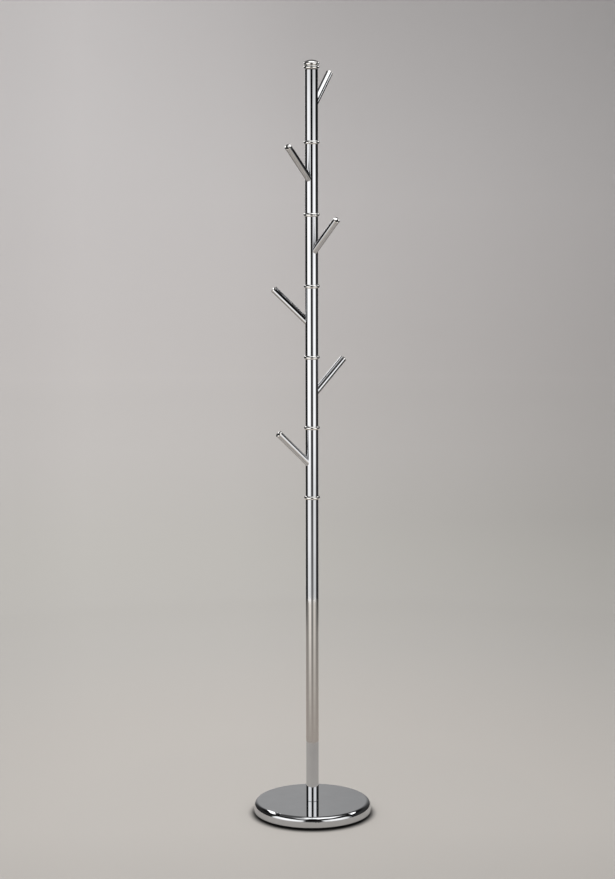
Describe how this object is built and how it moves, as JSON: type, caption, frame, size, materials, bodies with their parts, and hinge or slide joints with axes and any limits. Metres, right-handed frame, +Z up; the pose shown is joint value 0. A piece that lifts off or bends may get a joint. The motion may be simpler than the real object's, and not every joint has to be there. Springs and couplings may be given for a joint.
{
  "type": "standing coat rack",
  "caption": "Tall slim chrome coat rack: a round weighted base, a tube pole with bead collars, and short slanted pegs on stacked sections that each turn about the pole.",
  "frame": {"origin": "on the pole's axis at floor level, under the middle of the base", "axes": "+Z up along the pole, +X to the right and +Y to the back as the rack is usually seen"},
  "size_m": [0.28, 0.28, 1.7784],
  "materials": {
    "chrome": "polished chrome plate on steel tube and turned steel",
    "cast_iron": "as-cast, thin black paint",
    "black_plastic": "fine moulded texture",
    "rubber": "matt",
    "nylon": "smooth turned nylon",
    "zinc_steel": "bright zinc plate"
  },
  "bodies": {
    "stand": {"base_cover": "chrome", "base_weight": "cast_iron", "base_bottom_cover": "black_plastic", "base_feet": "rubber", "base_screws": "zinc_steel", "pole_socket": "zinc_steel", "base_washer": "zinc_steel", "base_nut": "zinc_steel", "tie_rod_lower": "zinc_steel", "tie_rod_middle": "zinc_steel", "tie_rod_upper": "zinc_steel", "rod_coupling_lower": "zinc_steel", "rod_coupling_upper": "zinc_steel", "lower_tube": "chrome", "lower_plug": "nylon", "collar_6": "chrome", "cap_bush": "nylon", "cap_ring": "chrome", "top_cap": "chrome"},
    "section_1": {"peg_section_1": "chrome", "peg_1": "chrome", "peg_cap_1": "chrome"},
    "section_2": {"peg_section_2": "chrome", "peg_2": "chrome", "peg_cap_2": "chrome", "section_plug_2": "nylon", "collar_1": "chrome"},
    "section_3": {"peg_section_3": "chrome", "peg_3": "chrome", "peg_cap_3": "chrome", "section_plug_3": "nylon", "collar_2": "chrome"},
    "section_4": {"peg_section_4": "chrome", "peg_4": "chrome", "peg_cap_4": "chrome", "section_plug_4": "nylon", "collar_3": "chrome"},
    "section_5": {"peg_section_5": "chrome", "peg_5": "chrome", "peg_cap_5": "chrome", "section_plug_5": "nylon", "collar_4": "chrome"},
    "section_6": {"peg_section_6": "chrome", "peg_6": "chrome", "peg_cap_6": "chrome", "section_plug_6": "nylon", "collar_5": "chrome"}
  },
  "joints": [
    {"name": "section_1_swivel", "type": "hinge", "parent": "stand", "child": "section_1", "pos_m": [0, 0, 1.59125], "axis": [0, 0, 1], "continuous": true},
    {"name": "section_2_swivel", "type": "hinge", "parent": "stand", "child": "section_2", "pos_m": [0, 0, 1.426], "axis": [0, 0, 1], "continuous": true},
    {"name": "section_3_swivel", "type": "hinge", "parent": "stand", "child": "section_3", "pos_m": [0, 0, 1.26075], "axis": [0, 0, 1], "continuous": true},
    {"name": "section_4_swivel", "type": "hinge", "parent": "stand", "child": "section_4", "pos_m": [0, 0, 1.0955], "axis": [0, 0, 1], "continuous": true},
    {"name": "section_5_swivel", "type": "hinge", "parent": "stand", "child": "section_5", "pos_m": [0, 0, 0.93025], "axis": [0, 0, 1], "continuous": true},
    {"name": "section_6_swivel", "type": "hinge", "parent": "stand", "child": "section_6", "pos_m": [0, 0, 0.765], "axis": [0, 0, 1], "continuous": true}
  ]
}
